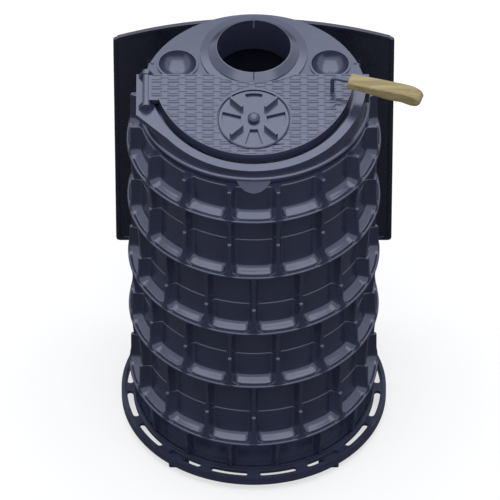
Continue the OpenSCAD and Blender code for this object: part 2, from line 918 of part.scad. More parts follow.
module air_dial() {
    color([0.46, 0.48, 0.55]) on_hatch() translate([0, -dial_y, lid_rise - dial_recess + fit]) {
        difference() {
            union() {
                cylinder(r = dial_r, h = dial_t - dial_rim_w);
                translate([0, 0, dial_t - dial_rim_w])
                    cylinder(r1 = dial_r, r2 = dial_r - dial_rim_w, h = dial_rim_w);
            }
            translate([0, 0, -over]) linear_extrude(height = dial_t + over * 2) windows(0);
            translate([0, 0, -over]) cylinder(d = stud_d + run * 2, h = dial_t + over * 2);
        }
        for (i = [0 : 3]) rotate([0, 0, 45 + i * 90]) translate([fin_in_r, -fin_t / 2, dial_t - over])
            cube([fin_out_r - fin_in_r, fin_t, fin_h + over]);
    }
}

module dial_stud() {
    low = lid_rise - lid_t - washer_t * 4;
    color([0.5, 0.5, 0.54]) on_hatch() translate([0, -dial_y, low]) {
        cylinder(d = stud_d, h = lid_rise - dial_recess + dial_t + washer_t * 2 - low);
        cylinder(r = washer_r, h = washer_t * 4, $fn = 6);
    }
}

// Domed nut over the stud
module dial_nut() {
    low = lid_rise - dial_recess + fit * 2 + dial_t + washer_t;
    color([0.32, 0.34, 0.42]) on_hatch() translate([0, -dial_y, low]) difference() {
        intersection() {
            cylinder(r = nut_r, h = nut_h);
            translate([0, 0, nut_h - nut_r * nut_dome_share]) sphere(r = nut_r * nut_dome_share);
        }
        translate([0, 0, -over]) cylinder(d = stud_d + run * 2, h = washer_t + over * 2);
    }
}

module dial_washer() {
    low = lid_rise - dial_recess + fit * 2 + dial_t;
    color([0.55, 0.55, 0.58]) on_hatch() translate([0, -dial_y, low]) difference() {
        cylinder(r = washer_r, h = washer_t);
        translate([0, 0, -over]) cylinder(d = stud_d + run * 2, h = washer_t + over * 2);
    }
}

// Children placed at the rod's upright, with their X axis along the grip
module at_handle() {
    translate([rod_x, -rod_y, hatch_z + rod_rise]) rotate([0, 0, -handle_angle]) children();
}

module handle_rod() {
    drop = rod_rise + rod_y * tan(hatch_tilt) - lid_rise / cos(hatch_tilt) + lid_t + boss_h / 2 - over;
    color([0.5, 0.52, 0.58]) at_handle() {
        translate([0, 0, -drop]) cylinder(d = rod_d, h = drop - rod_bend_r);
        translate([rod_bend_r, 0, -rod_bend_r]) rotate([-90, 0, 0]) rotate([0, 0, 180])
            rotate_extrude(angle = 90) translate([rod_bend_r, 0]) circle(d = rod_d);
        translate([rod_bend_r, 0, 0]) rotate([0, 90, 0])
            cylinder(d = rod_d, h = grip_start + rod_in_grip - rod_bend_r);
    }
}

// Side outline of the wooden grip: level on top, a finger swell below, a drooping round end
module grip_side() {
    top = grip_near_h / 2;
    end_r = grip_h / 2;
    hull() {
        translate([grip_round_r, top - grip_round_r]) circle(r = grip_round_r);
        translate([grip_round_r, -top + grip_round_r]) circle(r = grip_round_r);
        translate([grip_l * grip_swell_share, top - grip_h + grip_round_r]) circle(r = grip_round_r);
        translate([grip_l * grip_bend_share, top - grip_round_r]) circle(r = grip_round_r);
    }
    hull() {
        translate([grip_l * grip_middle_share, top - grip_round_r]) circle(r = grip_round_r);
        translate([grip_l * grip_middle_share, top - grip_h + grip_round_r]) circle(r = grip_round_r);
        translate([grip_l * grip_bend_share, top - grip_round_r]) circle(r = grip_round_r);
        translate([grip_l - end_r, top - end_r * grip_droop_share]) circle(r = end_r);
    }
}

module handle_grip() {
    color([0.72, 0.66, 0.46]) at_handle() translate([grip_start, 0, 0]) difference() {
        translate([0, grip_w / 2, 0]) rotate([90, 0, 0]) linear_extrude(height = grip_w) grip_side();
        translate([-over, 0, 0]) rotate([0, 90, 0])
            cylinder(d = rod_d + run * 2, h = rod_in_grip + over + fit);
    }
}

// Flat outline of the heat shield, with an arched top and rounded corners, drawn inwards by inset
module shield_outline(inset) {
    half = shield_w / 2;
    side_h = shield_corner_z - shield_z;
    arch_r = (half * half + shield_arch * shield_arch) / (2 * shield_arch);
    r = shield_corner_r;
    intersection() {
        translate([-half + inset, shield_z + inset]) square([shield_w - inset * 2, side_h + shield_arch]);
        translate([0, shield_corner_z + shield_arch - arch_r]) circle(r = arch_r - inset, $fn = 360);
        union() {
            translate([-half + inset + r, shield_z])
                square([shield_w - inset * 2 - r * 2, side_h + shield_arch]);
            translate([-half, shield_z + inset + r]) square([shield_w, side_h - r * 2]);
            for (side = [-1, 1]) {
                translate([side * (half - inset - r), shield_z + inset + r]) circle(r = r);
                translate([side * (half - inset - r), shield_corner_z - r]) circle(r = r);
            }
        }
    }
}

module heat_shield() {
    color([0.16, 0.165, 0.2]) difference() {
        translate([0, shield_y + shield_t, 0]) rotate([90, 0, 0])
            linear_extrude(height = shield_t) shield_outline(0);
        translate([0, shield_y + border_t, 0]) rotate([90, 0, 0])
            linear_extrude(height = border_t + over) shield_outline(border_w);
        for (side = [-1, 1], z = [strap_1_z, strap_2_z])
            translate([side * shield_bolt_x, shield_y - over, z]) rotate([-90, 0, 0])
                cylinder(d = bolt_d + fit, h = shield_t + over * 2);
    }
}

// A countersunk head as deep as the strap, widening to the back
module strap_bolt_head(d) {
    rotate([-90, 0, 0]) cylinder(d1 = d, d2 = d + strap_t * 2, h = strap_t);
}

// A flat strap across the back that joins the shield to two bosses of the body
module strap(z) {
    difference() {
        translate([-strap_end_x, shield_y - strap_t + border_t, z - strap_h / 2])
            cube([strap_end_x * 2, strap_t, strap_h]);
        for (x = [-shield_bolt_x, shield_bolt_x])
            translate([x, shield_y - strap_t, z]) rotate([-90, 0, 0])
                cylinder(d = bolt_d + fit, h = strap_t * 2 + border_t);
        for (x = [-boss_x, boss_x])
            translate([x, shield_y - strap_t + border_t, z]) strap_bolt_head(bolt_d + fit);
    }
}

module shield_strap_upper() {
    color([0.2, 0.2, 0.24]) strap(strap_1_z);
}

module shield_strap_lower() {
    color([0.2, 0.2, 0.24]) strap(strap_2_z);
}

// Round-headed bolts through the strap and the shield, with a nut behind
module shield_bolts() {
    color([0.4, 0.41, 0.46]) for (side = [-1, 1], z = [strap_1_z, strap_2_z])
        translate([side * shield_bolt_x, shield_y - strap_t + border_t, z]) rotate([-90, 0, 0]) {
            translate([0, 0, -bolt_head_h]) cylinder(d1 = bolt_head_d / 2, d2 = bolt_head_d, h = bolt_head_h);
            cylinder(d = bolt_d, h = strap_t + shield_t + bolt_d);
            translate([0, 0, strap_t + shield_t - border_t])
                cylinder(d = bolt_head_d, h = bolt_d / 2, $fn = 6);
        }
}

// Countersunk bolts that hold the straps to the bosses, flush with the shield's face
module strap_bolts() {
    low = floor_r + bolt_end_gap;
    color([0.4, 0.41, 0.46]) for (side = [-1, 1], z = [strap_1_z, strap_2_z])
        translate([side * boss_x, 0, z]) {
            translate([0, low, 0]) rotate([-90, 0, 0])
                cylinder(d = bolt_d - run * 2, h = shield_y + border_t - strap_t / 2 - low);
            translate([0, shield_y - strap_t + border_t, 0]) strap_bolt_head(bolt_d - run * 2);
        }
}

base_ring();
floor_plate();
body_ring_1();
body_ring_2();
body_ring_3();
body_ring_4();
body_ring_5();
seam_seals();
grate();
baffle();
hood();
collar_left();
collar_right();
bowl_left();
bowl_right();
bowl_screws();
deck_screws();
hatch_frame();
hinge_pin();
lid();
lid_seal();
lid_liner();
liner_screws();
air_dial();
dial_stud();
dial_nut();
dial_washer();
handle_rod();
handle_grip();
heat_shield();
shield_strap_upper();
shield_strap_lower();
shield_bolts();
strap_bolts();
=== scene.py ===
"""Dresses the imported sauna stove: ribbed rings, hood, treaded hatch, air dial and handle."""
import json
import math

import bmesh
import bpy
import numpy as np
from mathutils import Matrix, Vector


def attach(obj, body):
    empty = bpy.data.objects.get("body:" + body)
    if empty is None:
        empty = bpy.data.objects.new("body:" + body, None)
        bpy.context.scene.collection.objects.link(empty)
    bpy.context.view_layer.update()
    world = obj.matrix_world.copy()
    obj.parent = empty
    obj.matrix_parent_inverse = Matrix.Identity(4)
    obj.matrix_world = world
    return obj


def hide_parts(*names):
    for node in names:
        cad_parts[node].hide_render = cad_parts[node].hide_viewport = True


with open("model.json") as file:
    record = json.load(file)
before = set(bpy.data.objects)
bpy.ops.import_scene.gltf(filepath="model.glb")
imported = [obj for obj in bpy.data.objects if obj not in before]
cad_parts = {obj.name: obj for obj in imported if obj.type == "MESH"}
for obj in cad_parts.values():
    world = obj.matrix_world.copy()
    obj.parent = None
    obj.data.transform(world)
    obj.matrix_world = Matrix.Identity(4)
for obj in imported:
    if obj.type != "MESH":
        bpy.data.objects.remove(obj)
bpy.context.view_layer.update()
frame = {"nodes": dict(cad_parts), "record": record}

bl_info = {
    "name": "Top-Loading Sauna Stove",
    "version": (1, 0, 0),
    "blender": (4, 5, 0),
    "location": "3D View > Sidebar > Stove",
    "description": "Builds the visible pieces of a ribbed, top-loading sauna stove on its frame",
    "category": "Object",
}

# Lengths are in millimetres, as in the part's source, and MM turns them into metres.
MM = 0.001

# The ring castings: the seams from the lowest up, each ring's lip, and how far the ribs that
# cross each seam are turned, in degrees.
RIBS = 16
RINGS = 5
FLOOR_R = 220.0
BORE_R = 206.0
CREST_R = 240.0
SEAMS = (38.0, 176.0, 330.0, 462.0, 628.0, 762.0)
LIPS = (108.0, 263.0, 403.0, 550.0, 694.0)
RIB_TURNS = (11.25, 0.0, 11.25, 0.0, 11.25, 11.25)

# The lip: its edge is rounded by LIP_ROUND between the ribs, and by RIB_ROUND at them.
LIP_R = 243.5
LIP_T = 4.0
LIP_ROUND = 3.2
RIB_ROUND = 0.3
ROUND_BLEND = 10.0
LIP_FOOT_IN, LIP_FOOT_H = 0.6, 0.8

# The pockets' walls: a cove falls off by this power, and wall and scoop join by JOIN_POWER.
COVE_POWER = 3.4
JOIN_POWER = 3

# Pockets below a lip lean outwards from their foot, and their roof is coved.
FOOT_FLOOR_IN, FLOOR_LEAN = 2.6, 1.8
FOOT_CREST_IN, CREST_LEAN = 5.6, 6.6
LOW_CORNER, LOW_COVE = 0.9, 0.85
ROOF_REACH, ROOF_IN = 5.0, 0.8

# Pockets above a lip scoop out to the rim, with a fold along the foot of the ribs' coves.
SCOOP_R = 23.0
EDGE_FADE = 14.0
HIGH_CORNER, CORNER_DROP = 1.15, 0.8
FOLD_DEPTH, FOLD_REACH = 0.9, 1.8
FOLD_END, FOLD_FADE = 12.0, 4.0

# A shallow channel behind the rim, and the rounded step at the top of each ring.
SCOOP_DIP, DIP_REACH = 1.6, 10.0
DIP_TOP, DIP_FADE = 26.0, 6.0
LEAST_STEP, STEP_SHARE = 0.2, 0.95

# Columns by their distance from a rib's middle, and rows by their distance from the place
# that each group is named for.
COLUMN_STEPS = (0, 1.8, 2.9, 3.4, 3.8, 4.3, 5, 5.9, 6.9, 8, 9.2, 10.6, 12.2, 14, 16.4, 19.4)
FOOT_ROW = 0.7
ROOF_ROWS = (15, 12, 9.5, 7.5, 5.8, 4.4, 3.2, 2.2, 1.3, 0.6, 0)
RIM_ROWS = (3.6, 3.2, 2.4, 1.6, 0.95, 0.43, 0.11, 0)
SCOOP_ROWS = (
    0.014, 0.06, 0.14, 0.28, 0.5, 0.8, 1.2, 1.7, 2.4, 3.2, 4.2, 5.4, 6.8, 8.4, 10.2, 12.2,
    14.4, 16.8, 19.4, 22.2, 25, 29,
)
SEAM_ROWS = (4.8, 4.2, 3.5, 2.8, 2.1, 1.5, 1, 0.6, 0.3, 0.1, 0)
ROW_PITCH = 8
FOOT_GAP, ROOF_GAP, SCOOP_GAP, SEAM_GAP = 5, 19, 34, 6

# What is cast on to the rings: the grate's ledge, the baffle's rests and the shield's bosses.
LEDGE_W, LEDGE_FOOT, LEDGE_TOP = 12, 91.0, 100.0
REST_RING = 1
REST_X, REST_Y, REST_Z = 199, 19, 255
REST_SIZE = (18, 34, 14)
BOSS_HEIGHTS = {1: 300, 4: 654}
BOSS_X, BOSS_Y, BOSS_R, BOSS_LENGTH = 60, 212, 13, 35.0
BOSS_SIDES = 40

# The hood's moulding is swelled and sunk a little, and its lifting tongue is bent down.
HOOD_R = 212
MOULDING_R, MOULDING_FOOT, MOULDING_TOP = 212.5, 780, 791.5
MOULDING_SWELL, MOULDING_SINK = 1.4, 5
TONGUE_HALF, TONGUE_TOP = 36, 777
TONGUE_ROOT_R, TONGUE_START_R = 217, 217.4
TONGUE_SHORTER, TONGUE_DROOP = 0.3, 0.75

# The sloping hatch and its D-shaped lid, in plan about the body's axis.
HATCH_Z = 842.8
HATCH_TILT = math.radians(11.3)
LID_RISE = 13.4
LID_R = 190.4
LID_BACK_Y = -3.0
NOTCH_Y = 142.0
NOTCH_R = 165.0
DIAL_R = 68.0
DIAL_PLAN_Y = 108.0 * math.cos(HATCH_TILT)

# The lid's square corner by the hinge, which reaches further than its round edge.
HINGE_EDGE_X, HINGE_EDGE_Y = -194.0, -58.0
HINGE_CORNER_X, HINGE_CORNER_Y = -170.0, -60.0
TREAD_CORNER_X, TREAD_CORNER_Y = (-196, -160), (-60, -4)

# The tread: the shapes repeat every TREAD_PITCH, and each has its place, the widths of its
# upper and lower edges, and its depth.
TREAD_PITCH = (33.0, 15.9)
TREAD_PLACE = (12.5, -1.3)
TREAD_SHAPES = (
    (0.0, 0.0, 13.6, 22.6, 5.2),
    (0.0, -5.9, 22.5, 25.0, 3.2),
    (16.5, -11.5, 7.5, 19.0, 5.8),
)
TREAD_ROWS, TREAD_COLUMNS = range(-1, 14), range(-7, 8)
TREAD_SUNK = 0.4
FOOT_MARGIN, CROWN_MARGIN, LID_OVERHANG = 1.6, 2.0, 3.0
DIAL_GAP, DIAL_OVERLAP = 4.2, 1.0
CROWN_WIDTH, CROWN_DEPTH, CROWN_SLOPE = 0.97, 0.8, 0.8
CROWN_UP, CROWN_FROM = 0.45, 0.2

# The handle's rod and its grip: each station of the grip has its distance along the grip,
# the heights of its top and bottom over the rod's axis, and its width.
ROD_X, ROD_Y, ROD_RISE = 148.6, 41.8, 38.5
HANDLE_ANGLE = math.radians(16.5)
GRIP_START = 34.0
GRIP_ROUND, GRIP_ROUND_SHARE, GRIP_CORNER_STEPS = 3.4, 0.9, 6
GRIP_STATIONS = (
    (0.0, 6.75, -6.75, 30.4), (1.2, 7.2, -7.2, 31.4), (16, 7.2, -8.0, 31.4),
    (32, 7.2, -9.6, 31.4), (46, 7.2, -11.6, 31.4), (60, 7.2, -13.6, 31.4),
    (74, 7.2, -15.6, 31.4), (84, 7.1, -16.4, 31.4), (94, 7.0, -16.2, 31.4),
    (103, 6.9, -15.6, 31.4), (110, 6.6, -16.4, 31.4), (117, 6.0, -18.2, 31.4),
    (123, 5.0, -19.4, 31.2), (129, 3.2, -19.6, 30.8), (134, 0.8, -18.8, 30.0),
    (138, -2.2, -16.8, 28.6), (140.6, -5.4, -14.4, 26.4), (142, -8.6, -11.4, 23.0),
)

# How the copies' edges are found and rounded, and how much flat faces count in their shading.
MERGE_WITHIN = 2e-6
FLAT_WITHIN = math.radians(0.5)
SOFTENED_ABOVE = math.radians(28.0)
SOFTENING_STEPS = 2
FACE_WEIGHT = 80

# The nodes that a softened copy of their solid stands for, each with its share of the edge
# softening, the material that it shows and the record's slot.
SOFTENED = {
    "base_ring": (1.0, "blue_black_paint", "painted_casting"),
    "hood": (1.0, "blue_black_paint", "painted_casting"),
    "collar_left": (0.7, "blue_black_paint", "painted_casting"),
    "collar_right": (0.7, "blue_black_paint", "painted_casting"),
    "bowl_left": (0.4, "blue_black_paint", "painted_casting"),
    "bowl_right": (0.4, "blue_black_paint", "painted_casting"),
    "bowl_screws": (0.4, "blue_black_paint", "steel"),
    "deck_screws": (0.6, "blue_black_paint", "steel"),
    "hatch_frame": (1.0, "blue_black_paint", "painted_casting"),
    "hinge_pin": (0.5, "blue_black_paint", "steel"),
    "lid": (0.8, "blue_black_paint", "painted_casting"),
    "liner_screws": (0.4, "plain_steel", "steel"),
    "air_dial": (0.7, "blue_black_paint", "painted_casting"),
    "dial_nut": (0.5, "blue_black_paint", "painted_steel"),
    "dial_washer": (0.0, "blue_black_paint", "steel"),
    "handle_rod": (0.0, "blue_black_paint", "painted_steel"),
    "heat_shield": (1.2, "shield_paint", "painted_steel"),
    "shield_strap_upper": (0.6, "shield_paint", "painted_steel"),
    "shield_strap_lower": (0.6, "shield_paint", "painted_steel"),
    "shield_bolts": (0.5, "blue_black_paint", "steel"),
    "strap_bolts": (0.5, "plain_steel", "steel"),
    "grate": (1.0, "bare_iron", "raw_casting"),
    "baffle": (1.0, "bare_iron", "raw_casting"),
    "floor_plate": (1.0, "bare_iron", "raw_casting"),
}

# The stage, in metres.
FLOOR_HALF = 30
LAMP_PLACE, LAMP_TARGET, LAMP_SIZE = (0.0, 0.1, 3.3), (0.0, 0.1, 0.0), (4.2, 4.6)
LAMP_POWER = 85.0
SKY_COLOUR, SKY_STRENGTH = (0.92, 0.94, 1.0, 1.0), 1.0
CAMERA_DOWN = math.radians(42.9)
CAMERA_AWAY, CAMERA_TARGET_Z = 16.09, 0.397
CAMERA_LENS, CAMERA_SENSOR = 598.464, 36.0
CAMERA_SHIFT_X = -3.81 / 500
CAMERA_CLIP = (1.0, 200.0)


class StoveProps(bpy.types.PropertyGroup):
    """Sizes and colours of the stove's visible pieces."""

    rib_half: bpy.props.FloatProperty(
        name="Rib Half Width", description="Half the width of a rib's crest",
        default=0.0036, unit="LENGTH",
    )
    cove: bpy.props.FloatProperty(
        name="Cove", description="Reach of the cove from a rib's crest to the pocket's floor",
        default=0.0135, unit="LENGTH",
    )
    corner: bpy.props.FloatProperty(
        name="Pocket Corner", description="Radius in the corners of a pocket",
        default=0.016, unit="LENGTH",
    )
    softening: bpy.props.FloatProperty(
        name="Edge Softening", description="Width of the rounding on cast edges",
        default=0.0015, unit="LENGTH",
    )
    tread: bpy.props.FloatProperty(
        name="Tread Height", description="Height of the tread on the hatch lid",
        default=0.0009, unit="LENGTH",
    )
    paint: bpy.props.FloatVectorProperty(
        name="Paint", description="Colour of the paint on the castings",
        subtype="COLOR", default=(0.026, 0.029, 0.056),
    )
    shield_paint: bpy.props.FloatVectorProperty(
        name="Shield Paint", description="Colour of the paint on the heat shield",
        subtype="COLOR", default=(0.012, 0.013, 0.023),
    )
    iron: bpy.props.FloatVectorProperty(
        name="Bare Iron", description="Colour of the unpainted castings inside",
        subtype="COLOR", default=(0.06, 0.056, 0.054),
    )
    steel: bpy.props.FloatVectorProperty(
        name="Steel", description="Colour of the stud, screws and bolts that have no paint",
        subtype="COLOR", default=(0.32, 0.33, 0.36),
    )
    wood: bpy.props.FloatVectorProperty(
        name="Wood", description="Colour of the wooden grip",
        subtype="COLOR", default=(0.255, 0.212, 0.104),
    )
    wood_dark: bpy.props.FloatVectorProperty(
        name="Wood Grain", description="Colour of the grip's darker grain",
        subtype="COLOR", default=(0.155, 0.12, 0.054),
    )
    rope: bpy.props.FloatVectorProperty(
        name="Rope Seal", description="Colour of the rope seals",
        subtype="COLOR", default=(0.55, 0.52, 0.44),
    )


def props():
    return bpy.context.scene.stove


def scaled(colour, share=1.0):
    """A colour made darker or lighter, with full cover."""
    return (*(c * share for c in colour), 1.0)


def grey(value):
    return (value, value, value, 1.0)


def new_material(name, colour, roughness, metallic=0.0, specular=0.5):
    """A material, and the shader that its nodes drive."""
    material = bpy.data.materials.new(name)
    material.use_nodes = True
    material.diffuse_color = scaled(colour)
    shader = material.node_tree.nodes["Principled BSDF"]
    shader.inputs["Base Color"].default_value = scaled(colour)
    shader.inputs["Roughness"].default_value = roughness
    shader.inputs["Metallic"].default_value = metallic
    shader.inputs["Specular IOR Level"].default_value = specular
    return material, shader


def add_node(material, kind, **values):
    """A node of a material, with its inputs or its settings given by name."""
    made = material.node_tree.nodes.new(kind)
    for key, value in values.items():
        if key in made.inputs:
            made.inputs[key].default_value = value
        else:
            setattr(made, key, value)
    return made


def join(material, start, start_socket, end, end_socket):
    material.node_tree.links.new(start.outputs[start_socket], end.inputs[end_socket])


def over_object(material, texture, **mapped):
    """Lays a texture over the object's own coordinates, with a mapping if one is given."""
    place = add_node(material, "ShaderNodeTexCoord")
    if not mapped:
        join(material, place, "Object", texture, "Vector")
        return
    mapping = add_node(material, "ShaderNodeMapping", **mapped)
    join(material, place, "Object", mapping, "Vector")
    join(material, mapping, "Vector", texture, "Vector")


def grain(material, scale, detail, stretch=(1.0, 1.0, 1.0)):
    """A noise over the object's own coordinates."""
    noise = add_node(material, "ShaderNodeTexNoise", Scale=scale, Detail=detail, Roughness=0.6)
    over_object(material, noise, Scale=stretch)
    return noise


def roughen(material, shader, noise, strength, distance):
    """Bumps the surface by a noise."""
    bump = add_node(material, "ShaderNodeBump", Strength=strength, Distance=distance)
    join(material, noise, "Fac", bump, "Height")
    join(material, bump, "Normal", shader, "Normal")


def vary(material, shader, socket, noise, first, second, low=0.3, high=0.7):
    """Drives a shader socket from one value to another by a noise."""
    ramp = add_node(material, "ShaderNodeValToRGB")
    start, end = ramp.color_ramp.elements
    start.position, end.position = low, high
    start.color, end.color = first, second
    join(material, noise, "Fac", ramp, "Fac")
    join(material, ramp, "Color", shader, socket)


def make_paint(name, colour, roughness):
    """Glossy paint on cast iron, with a fine skin and a little cloudiness."""
    material, shader = new_material(name, colour, roughness, specular=0.55)
    shader.inputs["Specular Tint"].default_value = (0.76, 0.82, 1.0, 1.0)
    shader.inputs["IOR"].default_value = 1.8
    skin = grain(material, scale=260.0, detail=3.0)
    roughen(material, shader, skin, strength=0.10, distance=0.0004)
    clouds = grain(material, scale=9.0, detail=4.0)
    vary(material, shader, "Base Color", clouds, scaled(colour, 0.88), scaled(colour, 1.1))
    sheen = grain(material, scale=34.0, detail=5.0)
    vary(material, shader, "Roughness", sheen, grey(roughness - 0.04), grey(roughness + 0.07))
    return material


def make_iron(name):
    """Unpainted iron that the fire has darkened."""
    colour = tuple(props().iron)
    material, shader = new_material(name, colour, roughness=0.7, specular=0.3)
    pits = grain(material, scale=120.0, detail=6.0)
    roughen(material, shader, pits, strength=0.5, distance=0.001)
    burn = grain(material, scale=14.0, detail=5.0)
    vary(material, shader, "Base Color", burn, scaled(colour, 0.45), scaled(colour, 1.35))
    return material


def make_steel(name):
    """Plain turned steel."""
    colour = tuple(props().steel)
    material, shader = new_material(name, colour, roughness=0.34, metallic=1.0)
    lines = grain(material, scale=300.0, detail=2.0, stretch=(1.0, 1.0, 0.1))
    roughen(material, shader, lines, strength=0.08, distance=0.0002)
    wear = grain(material, scale=60.0, detail=3.0)
    vary(material, shader, "Roughness", wear, grey(0.28), grey(0.42))
    return material


def make_rope(name):
    """Woven rope, for the seals."""
    colour = tuple(props().rope)
    material, shader = new_material(name, colour, roughness=0.95, specular=0.1)
    weave = add_node(material, "ShaderNodeTexWave", Scale=220.0, Distortion=3.0)
    over_object(material, weave)
    roughen(material, shader, weave, strength=0.7, distance=0.001)
    dust = grain(material, scale=90.0, detail=3.0)
    vary(material, shader, "Base Color", dust, scaled(colour, 0.75), scaled(colour, 1.1))
    return material


def make_wood(name):
    """Oiled wood, with its fibres along the handle."""
    light, dark = tuple(props().wood), tuple(props().wood_dark)
    material, shader = new_material(name, light, roughness=0.55, specular=0.35)
    fibre = add_node(
        material, "ShaderNodeTexNoise", Scale=1.0, Detail=6.0, Roughness=0.65, Distortion=0.6,
    )
    over_object(material, fibre, Rotation=(0.0, 0.0, HANDLE_ANGLE), Scale=(9.0, 120.0, 120.0))
    vary(
        material, shader, "Base Color", fibre, scaled(dark), scaled(light), low=0.32, high=0.58,
    )
    roughen(material, shader, fibre, strength=0.25, distance=0.0004)
    return material


MAKERS = {
    "blue_black_paint": lambda name: make_paint(name, tuple(props().paint), roughness=0.19),
    "shield_paint": lambda name: make_paint(name, tuple(props().shield_paint), roughness=0.26),
    "bare_iron": make_iron,
    "plain_steel": make_steel,
    "woven_rope": make_rope,
    "oiled_wood": make_wood,
}


def material_for(look):
    """The material that a look names, made on its first use."""
    return bpy.data.materials.get(look) or MAKERS[look](look)


def piece(name, mesh, body, look, *nodes, slot="painted_casting", sharp=32.0, weighted=False):
    """Links a mesh as a piece that rides a body and stands for its nodes."""
    obj = bpy.data.objects.new(name, mesh)
    bpy.context.scene.collection.objects.link(obj)
    mesh.materials.clear()
    mesh.materials.append(material_for(look))
    mesh.polygons.foreach_set("use_smooth", [True] * len(mesh.polygons))
    mesh.set_sharp_from_angle(angle=math.radians(sharp))
    if weighted:
        shade = obj.modifiers.new("Face Weighted Shading", "WEIGHTED_NORMAL")
        shade.keep_sharp = True
        shade.weight = FACE_WEIGHT
    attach(obj, body)
    if nodes:
        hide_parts(*nodes)


def body_of(node):
    """Name of the body that a CAD node moves with."""
    for body, members in frame["record"]["behaviour"]["bodies"].items():
        if node in members:
            return body
    raise RuntimeError(f"no body holds {node}")


def softened(node, bend=None):
    """Stands for a node with a copy of its solid whose sharp edges are rounded."""
    share, look, slot = SOFTENED[node]
    width = props().softening * share
    bm = bmesh.new()
    bm.from_mesh(frame["nodes"][node].data)
    bmesh.ops.remove_doubles(bm, verts=bm.verts, dist=MERGE_WITHIN)
    if bend:
        for vert in bm.verts:
            vert.co = bend(vert.co / MM) * MM
    bmesh.ops.dissolve_limit(bm, angle_limit=FLAT_WITHIN, verts=bm.verts, edges=bm.edges)
    sharp = [
        edge for edge in bm.edges
        if len(edge.link_faces) == 2 and edge.calc_face_angle(0.0) > SOFTENED_ABOVE
    ]
    if width and sharp:
        bmesh.ops.bevel(
            bm, geom=sharp, offset=width, offset_type="OFFSET", segments=SOFTENING_STEPS,
            profile=0.5, affect="EDGES", clamp_overlap=True,
        )
    mesh = bpy.data.meshes.new(node + "_soft")
    bm.to_mesh(mesh)
    bm.free()
    mesh.validate()
    piece(mesh.name, mesh, body_of(node), look, node, slot=slot, weighted=True)


def dressed(node, look):
    """Gives a CAD node that keeps its own shape its finish."""
    obj = frame["nodes"][node]
    obj.data.materials.clear()
    obj.data.materials.append(material_for(look))


def inside_corner(across, down, radius):
    """Distance inside a corner with a round of this radius."""
    plain = np.minimum(across, down)
    near = (across < radius) & (down < radius)
    return np.where(near, radius - np.hypot(radius - across, radius - down), plain)


def coved(distance, reach):
    """Falls from one at an edge to nothing at its reach, as a cove does."""
    return np.clip(1.0 - distance / reach, 0.0, 1.0) ** COVE_POWER


def ring_columns():
    """Angles round the body, close together at both places where a rib can stand."""
    half_pitch = math.pi / RIBS
    middle = half_pitch * CREST_R / 2
    mirrored = [middle * 2 - step for step in reversed(COLUMN_STEPS[1:])]
    steps = [*COLUMN_STEPS, middle, *mirrored]
    return np.array([k * half_pitch + s / CREST_R for k in range(RIBS * 2) for s in steps])


def plain_rows(start, end):
    """Evenly spaced heights over a stretch of plain wall."""
    return np.linspace(start, end, max(2, int((end - start) / ROW_PITCH)))


def ring_rows(low, lip, high):
    """Heights of a ring casting's rows, close together at its lip and at its top."""
    under = lip - LIP_T
    return np.array([
        low, low + FOOT_ROW,
        *plain_rows(low + FOOT_GAP, under - ROOF_GAP),
        *(under - d for d in ROOF_ROWS),
        *(lip - d for d in RIM_ROWS),
        *(lip + d for d in SCOOP_ROWS),
        *plain_rows(lip + SCOOP_GAP, high - SEAM_GAP),
        *(high - d for d in SEAM_ROWS),
    ])


def rib_offset(angles, turn):
    """Distance of each angle from the middle of its nearest rib, at the crests."""
    pitch = 2 * math.pi / RIBS
    start = math.radians(turn) - math.pi / 2
    away = (angles - start + pitch / 2) % pitch - pitch / 2
    return np.abs(away) * CREST_R


def below_lip(across, z, low, under):
    """Outer radius under the lip, from each place's distance to the crest of its rib."""
    p = props()
    share = np.clip((z - low) / (under - low), 0, 1)
    floor = FLOOR_R - FOOT_FLOOR_IN + share * FLOOR_LEAN
    crest = CREST_R - FOOT_CREST_IN + share * CREST_LEAN
    inside = inside_corner(across, under - z, p.corner / MM * LOW_CORNER)
    radius = floor + (crest - floor) * coved(inside, p.cove / MM * LOW_COVE)
    roof = coved(under - z, ROOF_REACH)
    return np.maximum(radius, floor + (LIP_R - ROOF_IN - floor) * roof)


def above_lip(across, up, rim_r):
    """Outer radius over the lip, where the pocket's floor scoops out to the rim."""
    p = props()
    left = SCOOP_R - np.clip(up, 0, SCOOP_R)
    scoop = rim_r - np.sqrt(np.maximum(SCOOP_R**2 - left**2, 0)) - FLOOR_R
    scoop = np.clip(scoop / (rim_r - FLOOR_R), 0, 1)
    edge = CREST_R + (rim_r - CREST_R) * np.exp(-np.clip(up, 0, None) / EDGE_FADE)
    inside = inside_corner(across, up * CORNER_DROP, p.corner / MM * HIGH_CORNER)
    wall = coved(inside, p.cove / MM)
    joined = np.clip(wall**JOIN_POWER + scoop**JOIN_POWER, 0, 1) ** (1 / JOIN_POWER)
    fold = FOLD_DEPTH * np.clip(1 + inside / FOLD_REACH, 0, 1) ** 2
    fold = fold * np.clip((FOLD_END - across) / FOLD_FADE, 0, 1)
    return FLOOR_R + (edge - FLOOR_R) * joined - fold


def top_step(index, across, top):
    """How far each place at a ring's top stands out over the foot of what is above it."""
    if index == RINGS - 1:
        foot = top - FOOT_FLOOR_IN
    else:
        floor, crest = FLOOR_R - FOOT_FLOOR_IN, CREST_R - FOOT_CREST_IN
        foot = floor + (crest - floor) * coved(across, props().cove / MM * LOW_COVE)
    return np.maximum(top - foot, LEAST_STEP) * STEP_SHARE


